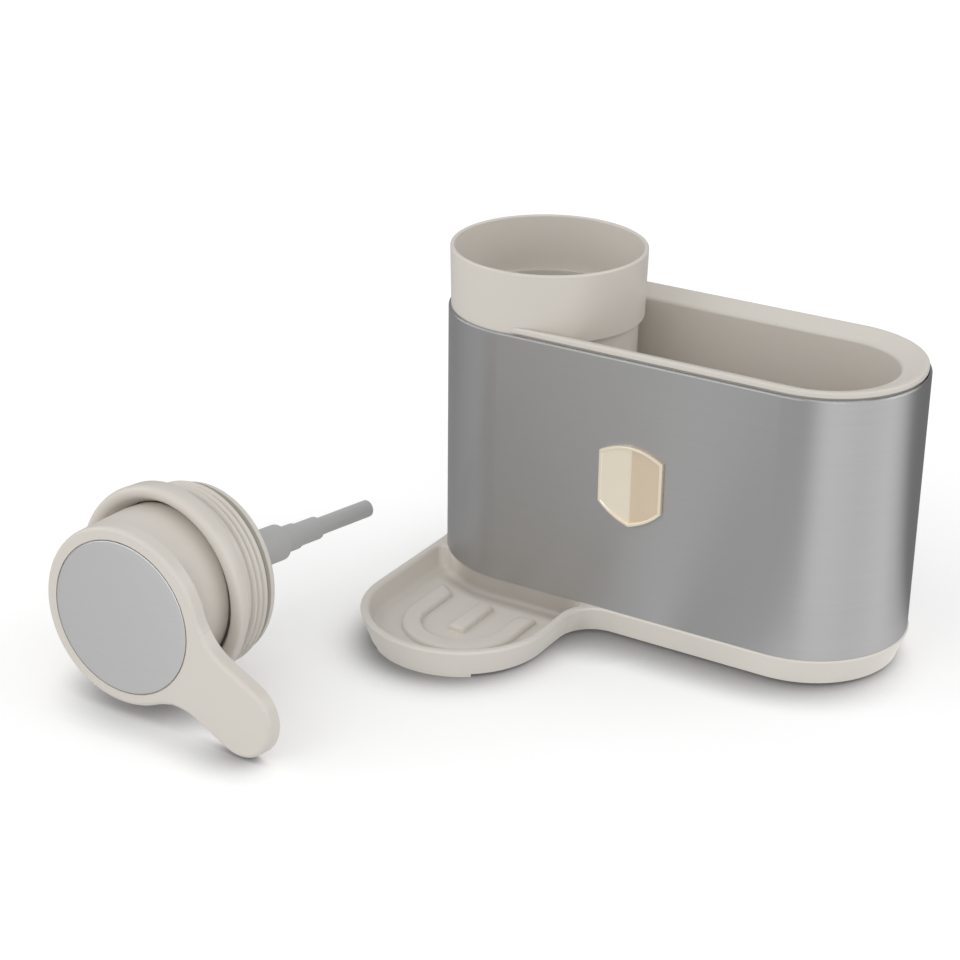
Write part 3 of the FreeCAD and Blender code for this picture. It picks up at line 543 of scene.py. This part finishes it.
def buildClosure(settings):
    ring, height, foot = settings["ring"], settings["height"], settings["foot"]
    shoulder, crest = settings["shoulder"], settings["crest"]
    mouth, mouthTop, edge = settings["mouth"], settings["mouthTop"], settings["mouthEdge"]
    profile = [(settings["well"], foot), (settings["well"], settings["wellTop"])]
    profile += [(mouth, settings["wellTop"]), (mouth, mouthTop), (mouth + edge, mouthTop + edge)]
    profile += arcPoints((ring - shoulder, height - crest), crest, *settings["crestArc"])
    profile += arcPoints((ring - shoulder, height - shoulder), shoulder, *settings["shoulderArc"])
    profile += [(ring - inset, level) for inset, level in settings["underEdge"]]
    plug, pitch, steps = settings["plug"], settings["ridgePitch"], settings["ridgeSteps"]
    first = settings["ridgeTop"] + pitch / 2
    profile += [(plug, 0.0), (plug, first)]
    for step in range(1, settings["ridges"] * steps):
        wave = abs(math.sin(math.pi * step / steps)) ** settings["ridgeFullness"]
        profile.append((plug + settings["ridge"] * wave, first - pitch * step / steps))
    profile += [(plug, first - pitch * settings["ridges"]), (plug, settings["seatTop"])]
    profile += [(settings["seat"], settings["seatTop"]), (settings["seat"], foot)]
    shape = spinShape(profile, settings["steps"], True)
    for vert in shape.verts:
        if vert.co.z > 0:
            vert.co.z *= 1 - settings["slant"] * vert.co.x * perMetre / ring
    return finishPiece("closureRing", shape, pumpPlace, materials["cream_plastic"], "pump",
                       ["closure_collar"], settings["sharp"])


closureRing = buildClosure(closureShape)
print("closure ring spun with", len(closureRing.data.polygons), "faces")

# Seal in its seat between the plug and the plug's base

sealShape = {
    "inner": 33.65,
    "outer": 35.25,
    "low": -17.0,
    "high": -15.3,
    "round": 0.55,
    "roundSteps": 5,
    "steps": 144,
    "sharp": 50,
}


def buildSeal(settings):
    inner, low, high = settings["inner"], settings["low"], settings["high"]
    soft, steps = settings["round"], settings["roundSteps"]
    middle = settings["outer"] - soft
    profile = [(inner, low)]
    profile += arcPoints((middle, low + soft), soft, -90, 0, steps)
    profile += arcPoints((middle, high - soft), soft, 0, 90, steps)
    profile.append((inner, high))
    shape = spinShape(profile, settings["steps"], True)
    return finishPiece("plugSeal", shape, pumpPlace, materials["grey_rubber"], "pump",
                       ["seal_ring"], settings["sharp"])


plugSeal = buildSeal(sealShape)
print("seal spun with", len(plugSeal.data.polygons), "faces")

# Flared bell round the head's drum, from under the slanted plate down into the ring's mouth

bellShape = {
    "plateRadius": 35.05,
    "plateDepth": 5.9,
    "slant": 7.4,
    "offset": 6.5,
    "faceHeight": 32.3,
    "footRadius": 32.2,
    "footHeight": 9.0,
    "skirt": 6.0,  # straight part below the curve, down into the mouth
    "waistHeight": 18.2,  # height of the curve's middle point on the tongue's side
    "wall": 0.6,
    "steps": 120,
    "rings": 14,
    "sharp": 60,
}


def bellPoint(settings, angle, share, inward):
    # Point on a curve from the drum's foot to the slanted plate, drawn in by the given depth
    radius, depth = settings["plateRadius"], settings["plateDepth"]
    slant = math.radians(settings["slant"])
    footHeight, waistHeight = settings["footHeight"], settings["waistHeight"]
    level = radius * math.cos(angle)
    top = Vector((
        level * math.cos(slant) - depth * math.sin(slant) + settings["offset"],
        radius * math.sin(angle),
        settings["faceHeight"] - level * math.sin(slant) - depth * math.cos(slant),
    ))
    around = Vector((math.cos(angle), math.sin(angle), 0)) * settings["footRadius"]
    foot = around + Vector((0, 0, footHeight))
    waist = around + Vector((0, 0, waistHeight))
    straight = foot.lerp(top, (waistHeight - footHeight) / (top.z - footHeight))
    middle = straight.lerp(waist, (1 + math.cos(angle)) / 2)
    point = foot.lerp(middle, share).lerp(middle.lerp(top, share), share)
    flat = Vector((point.x, point.y, 0))
    return (point - flat.normalized() * inward) / perMetre


def buildBell(settings):
    shape = bmesh.new()
    count, rings = settings["steps"], settings["rings"]
    skirt, wall = settings["skirt"] / perMetre, settings["wall"]
    levels = [(0.0, 0.0, skirt)] + [(ring / rings, 0.0, 0.0) for ring in range(rings + 1)]
    levels += [(ring / rings, wall, 0.0) for ring in range(rings, -1, -1)] + [(0.0, wall, skirt)]
    rows = []
    for share, inward, lower in levels:
        row = []
        for step in range(count):
            point = bellPoint(settings, 2 * math.pi * step / count, share, inward)
            row.append(shape.verts.new(point - Vector((0, 0, lower))))
        rows.append(row)
    bridgeRows(shape, rows, True)
    bmesh.ops.recalc_face_normals(shape, faces=shape.faces)
    return finishPiece("headBell", shape, pumpPlace, materials["cream_plastic"], "head",
                       [], settings["sharp"])


headBell = buildBell(bellShape)
print("head bell built with", len(headBell.data.polygons), "faces")

# Plain shield with a raised rim, its field folded in an upright valley

shieldShape = {
    "width": 27.3,
    "top": 16.6,
    "shoulder": 12.6,
    "waist": -8.6,
    "tip": -16.9,
    "insetShares": {"shoulder": -0.8, "waist": 0.2, "tip": 1.25},  # how far a height follows
    "bow": (2.856, -3.264),  # outward and downward bow of the sides of the tip
    "topSteps": 12,
    "sideSteps": 8,
    "tipSteps": 12,
    "thickness": 1.5,
    "chamfer": 0.35,
    "chamferMiddle": 0.3,  # share of the chamfer at its middle level
    "rim": 1.2,
    "rimEdge": (0.15, 0.1),
    "rimSlope": 0.3,
    "step": 0.3,
    "fold": 0.85,
    "sharp": 22,
}


def shieldOutline(settings, inset):
    # Right half of the outline from the top's middle to the tip, then the mirrored left half
    half = settings["width"] / 2 - inset
    top = settings["top"] - inset
    shoulder, waist, tip = (settings[name] + inset * follow
                            for name, follow in settings["insetShares"].items())
    right = []
    for step in range(settings["topSteps"] + 1):
        share = step / settings["topSteps"]
        right.append((half * share, top - (top - shoulder) * share ** 2))
    for step in range(1, settings["sideSteps"] + 1):
        right.append((half, shoulder + (waist - shoulder) * step / settings["sideSteps"]))
    for step in range(1, settings["tipSteps"] + 1):
        share = step / settings["tipSteps"]
        bow = share * (1 - share)
        right.append((half * (1 - share) + settings["bow"][0] * bow,
                      waist + (tip - waist) * share + settings["bow"][1] * bow))
    left = [(-x, y) for x, y in right[-2:0:-1]]
    return right + left


def buildShield(settings):
    box = [vertex.co for vertex in nodes["badge_plate"].data.vertices]
    middle = (min(v.x for v in box) + max(v.x for v in box)) / 2
    back = max(v.y for v in box)
    foot = min(v.z for v in box) - settings["tip"] / perMetre
    place = Matrix.Translation((middle, back, foot)) @ Matrix.Rotation(math.radians(90), 4, "X")
    thick, chamfer, rim = settings["thickness"], settings["chamfer"], settings["rim"]
    between = chamfer * settings["chamferMiddle"]
    edgeInset, edgeDrop = settings["rimEdge"]
    levels = [
        (0.0, 0.0),
        (0.0, thick - chamfer),
        (between, thick - between),
        (chamfer, thick),
        (rim - edgeInset, thick),
        (rim, thick - edgeDrop),
        (rim + settings["rimSlope"], thick - settings["step"]),
    ]
    shape = bmesh.new()
    rows = []
    for inset, height in levels:
        points = [(x / perMetre, y / perMetre, height / perMetre)
                  for x, y in shieldOutline(settings, inset)]
        rows.append([shape.verts.new(point) for point in points])
    field = rows[-1]
    half = settings["width"] / 2 - levels[-1][0]
    for vert in field:
        vert.co.z -= settings["fold"] / perMetre * (1 - abs(vert.co.x) * perMetre / half)
    bridgeRows(shape, rows, False)
    shape.faces.new(rows[0])
    tip = settings["topSteps"] + settings["sideSteps"] + settings["tipSteps"]
    shape.faces.new(field[:tip + 1])
    shape.faces.new(field[tip:] + field[:1])
    bmesh.ops.recalc_face_normals(shape, faces=shape.faces)
    return finishPiece("badgeShield", shape, place, materials["pale_gold"], "caddy",
                       ["badge_plate"], settings["sharp"])


badgeShield = buildShield(shieldShape)
print("badge built with", len(badgeShield.data.polygons), "faces")

# Rounded ribs over the dish's low ones: a U open to the sleeve and a middle bar

ribShape = {
    "centre": (-58.2, -66.2),
    "radius": 20.4,
    "half": 3.95,
    "low": 3.3,
    "rise": 2.5,
    "soft": 1.5,
    "softSteps": 5,
    "leftEnds": (-41.9, -47.9),  # outer and inner side of the arm
    "rightEnds": (-49.9, -52.4),
    "armSteps": 12,
    "arcSteps": 40,
    "endReach": 0.07,  # share of the arm over which its end rises to full height
    "endHeight": 0.02,
    "endSteps": 4,
    "barMiddle": (-57.2, -61.5),
    "barHalf": (3.45, 11.55),
    "barRound": 1.1,
    "barRoundSteps": 4,
    "sharp": 60,
    "barSharp": 40,
}


def ribSection(settings, scale):
    # Across the rib from its outer to its inner foot: offset and height, with rounded shoulders
    half, low, soft = settings["half"], settings["low"], settings["soft"]
    corner = (half - soft, low + settings["rise"] - soft)
    points = [(half, low)]
    for x, z in arcPoints(corner, soft, 0, 90, settings["softSteps"]):
        points.append((x, low + (z - low) * scale))
    return points + [(-x, z) for x, z in points[::-1]]


def armPoints(settings, side, share, ends, scale):
    # Cross-section of an arm at a share of its length from the arc to its slanted end
    cx, cy = settings["centre"]
    outer, inner = ends
    half = settings["half"]
    points = []
    for offset, z in ribSection(settings, scale):
        end = inner + (outer - inner) * (offset + half) / (2 * half)
        points.append((cx + side * (settings["radius"] + offset), cy + (end - cy) * share, z))
    return points


def arcSection(settings, angle):
    cx, cy = settings["centre"]
    points = []
    for offset, z in ribSection(settings, 1.0):
        reach = settings["radius"] + offset
        points.append((cx + reach * math.cos(angle), cy + reach * math.sin(angle), z))
    return points


def buildRibs(settings):
    reach, endSteps, armSteps = settings["endReach"], settings["endSteps"], settings["armSteps"]
    arm = [(1.0, settings["endHeight"])]
    for step in range(1, endSteps + 1):
        share = step / endSteps
        arm.append((1 - reach * share, math.sin(math.pi / 2 * share)))
    arm += [((1 - reach) * (1 - step / armSteps), 1.0) for step in range(1, armSteps)]
    rows = [armPoints(settings, -1, share, settings["leftEnds"], scale) for share, scale in arm]
    for step in range(settings["arcSteps"] + 1):
        rows.append(arcSection(settings, math.pi * (1 + step / settings["arcSteps"])))
    for share, scale in reversed(arm):
        rows.append(armPoints(settings, 1, share, settings["rightEnds"], scale))
    shape = bmesh.new()
    rows = [[shape.verts.new(Vector(point) / perMetre) for point in row] for row in rows]
    bridgeRows(shape, rows, False)
    shape.faces.new(rows[0])
    shape.faces.new(rows[-1])
    bmesh.ops.recalc_face_normals(shape, faces=shape.faces)
    return finishPiece("dishRibs", shape, Matrix.Identity(4), trayPaintedLightAndShade, "caddy",
                       [], settings["sharp"])


def buildBar(settings):
    shape = bmesh.new()
    bmesh.ops.create_cube(shape, size=2.0)
    halves = Vector((*settings["barHalf"], settings["rise"] / 2)) / perMetre
    bmesh.ops.scale(shape, vec=halves, verts=shape.verts)
    middle = Vector((*settings["barMiddle"], settings["low"] + settings["rise"] / 2)) / perMetre
    bmesh.ops.translate(shape, vec=middle, verts=shape.verts)
    edges = [edge for edge in shape.edges if max(v.co.z for v in edge.verts) > middle.z]
    bmesh.ops.bevel(shape, geom=edges, offset=settings["barRound"] / perMetre,
                    offset_type="OFFSET", affect="EDGES", segments=settings["barRoundSteps"],
                    profile=0.5, material=-1)
    bmesh.ops.recalc_face_normals(shape, faces=shape.faces)
    return finishPiece("dishBar", shape, Matrix.Identity(4), trayPaintedLightAndShade, "caddy",
                       [], settings["barSharp"])


dishRibs = buildRibs(ribShape)
dishBar = buildBar(ribShape)
print("dish ribs built with", len(dishRibs.data.polygons) + len(dishBar.data.polygons), "faces")

# Floor, light and background

studio = {
    "floorSize": 14.0,
    "floorColour": (0.86, 0.86, 0.86),
    "floorRoughness": 0.9,
    "floorLift": 0.2,  # white added for camera and glass rays alone
    # The contact settings paint a shadow into the floor's colour and its white lift, as the camera
    # sees it
    "contactReach": 0.026,  # metres of floor that the camera sees darker beside what stands on it
    "contactTone": 0.25,
    "contactRange": (0.15, 0.92),  # open share of the surroundings at full and at no contact tone
    "contactLean": (0.05, 0.72, 0.69),  # darker in front of things than beside them
    "contactSamples": 16,
    "bandCentre": 0.03,  # X of the upright line round which the floor's bands turn
    "ambient": 0.78,
}

# What mirrors see by azimuth from the front towards the open pocket, in degrees
mirrorBands = [
    (-120, 0.38), (-60, 0.50), (-32, 0.60), (-24, 0.73), (-12, 0.50), (14, 0.60),
    (34, 1.03), (50, 0.98), (98, 1.02), (112, 0.85), (130, 0.3), (170, 0.25),
]

lamps = {
    "frontBox": {
        "spot": (-1.6, -4.4, 3.1),
        "aim": (-0.03, -0.05, 0.04),
        "size": (3.6, 2.7),
        "power": 43.0,
    },
    "frontRightBox": {
        "spot": (2.9, -3.7, 2.5),
        "aim": (-0.03, -0.05, 0.04),
        "size": (3.6, 2.7),
        "power": 21.5,
    },
    "backRightBox": {
        "spot": (3.6, 2.2, 2.5),
        "aim": (0.0, 0.0, 0.05),
        "size": (4.0, 2.4),
        "power": 42.0,
    },
    "leftBox": {
        "spot": (-4.2, -1.5, 2.2),
        "aim": (-0.06, -0.06, 0.04),
        "size": (3.6, 2.7),
        "power": 30.0,
    },
}
lampGloss = 0.25  # share of a lamp's light that shows as a highlight


def bandTone(tree, vector, centre):
    # Brightness that varies with the azimuth of a place or direction about an upright line
    x, y = splitVector(tree, vector)
    across = mathNode(tree, "SUBTRACT", x, centre)
    ahead = mathNode(tree, "MULTIPLY", y, -1.0)
    turn = mathNode(tree, "DIVIDE", mathNode(tree, "ARCTAN2", across, ahead), 2 * math.pi)
    bands = tree.nodes.new("ShaderNodeValToRGB")
    tree.links.new(mathNode(tree, "ADD", turn, 0.5), bands.inputs["Fac"])
    stops = bands.color_ramp.elements
    while len(stops) < len(mirrorBands):
        stops.new(0.5)
    brightest = max(tone for angle, tone in mirrorBands)
    for stop, (angle, tone) in zip(stops, mirrorBands):
        stop.position = 0.5 + angle / 360
        stop.color = opaque((tone / brightest,) * 3)
    return mathNode(tree, "MULTIPLY", bands.outputs["Color"], brightest)


def paintedContactShadow(tree, settings):
    # Painted contact shadow: share of light left near what stands on the floor, counted more for
    # what stands behind, painted into the floor's colour
    near = addNode(tree, "ShaderNodeAmbientOcclusion", Distance=settings["contactReach"])
    near.samples = settings["contactSamples"]
    lean = addNode(tree, "ShaderNodeCombineXYZ", **dict(zip("XYZ", settings["contactLean"])))
    tree.links.new(lean.outputs["Vector"], near.inputs["Normal"])
    return ramp(tree, near.outputs["AO"], *settings["contactRange"], settings["contactTone"])


def buildFloor(settings):
    half = settings["floorSize"] / 2
    mesh = bpy.data.meshes.new("floor")
    corners = [(-half, -half, 0), (half, -half, 0), (half, half, 0), (-half, half, 0)]
    mesh.from_pydata(corners, [], [(0, 1, 2, 3)])
    floor = bpy.data.objects.new("floor", mesh)
    scene.collection.objects.link(floor)
    material, tree, shader = newMaterial("paleFloor")
    path = tree.nodes.new("ShaderNodeLightPath")
    camera, glossy = path.outputs["Is Camera Ray"], path.outputs["Is Glossy Ray"]
    # Painted contact shadow: for camera rays the floor's colour darkens where little is open round
    # it
    tone = paintedContactShadow(tree, settings)
    shade = mathNode(tree, "MULTIPLY", camera, mathNode(tree, "SUBTRACT", 1.0, tone))
    shade = mathNode(tree, "MAXIMUM", shade, glossy)
    colour = mixColours(tree, shade, opaque(settings["floorColour"]), opaque((0, 0, 0)))
    tree.links.new(colour, shader.inputs["Base Color"])
    shader.inputs["Roughness"].default_value = settings["floorRoughness"]
    shader.inputs["Specular IOR Level"].default_value = 0.0
    shader.inputs["Emission Color"].default_value = (1, 1, 1, 1)
    # Painted reflection: for glossy rays the floor glows with upright bands of brightness by
    # azimuth about an upright line
    place = tree.nodes.new("ShaderNodeTexCoord")
    bands = bandTone(tree, place.outputs["Object"], settings["bandCentre"])
    bands = mathNode(tree, "MULTIPLY", glossy, bands)
    clear = mathNode(tree, "MAXIMUM", camera, path.outputs["Is Transmission Ray"])
    lift = mathNode(tree, "MULTIPLY", tone, settings["floorLift"])
    lift = mathNode(tree, "MULTIPLY", clear, lift)
    tree.links.new(mathNode(tree, "ADD", lift, bands), shader.inputs["Emission Strength"])
    mesh.materials.append(material)


def buildWorld(settings):
    # Even ambient light; white for camera and glass rays; upright bands for mirrors
    world = bpy.data.worlds.new("studio")
    scene.world = world
    world.use_nodes = True
    tree = world.node_tree
    background = next(n for n in tree.nodes if n.type == "BACKGROUND")
    background.inputs["Color"].default_value = (1, 1, 1, 1)
    place = tree.nodes.new("ShaderNodeTexCoord")
    path = tree.nodes.new("ShaderNodeLightPath")
    camera, glossy = path.outputs["Is Camera Ray"], path.outputs["Is Glossy Ray"]
    bands = mathNode(tree, "MULTIPLY", glossy, bandTone(tree, place.outputs["Generated"], 0.0))
    clear = mathNode(tree, "MAXIMUM", camera, path.outputs["Is Transmission Ray"])
    other = mathNode(tree, "SUBTRACT", 1.0, mathNode(tree, "MAXIMUM", clear, glossy))
    soft = mathNode(tree, "MULTIPLY", other, settings["ambient"])
    strength = mathNode(tree, "ADD", mathNode(tree, "ADD", clear, soft), bands)
    tree.links.new(strength, background.inputs["Strength"])


def placeLamp(name, settings):
    data = bpy.data.lights.new(name, "AREA")
    data.shape = "RECTANGLE"
    data.size, data.size_y = settings["size"]
    data.energy = settings["power"]
    data.specular_factor = lampGloss
    lamp = bpy.data.objects.new(name, data)
    spot = Vector(settings["spot"])
    aim = Vector(settings["aim"]) - spot
    lamp.location = spot
    lamp.rotation_euler = aim.to_track_quat("-Z", "Y").to_euler()
    scene.collection.objects.link(lamp)


buildFloor(studio)
buildWorld(studio)
for lampName, lampSettings in lamps.items():
    placeLamp(lampName, lampSettings)
scene.view_settings.view_transform = "Standard"
print("studio set")
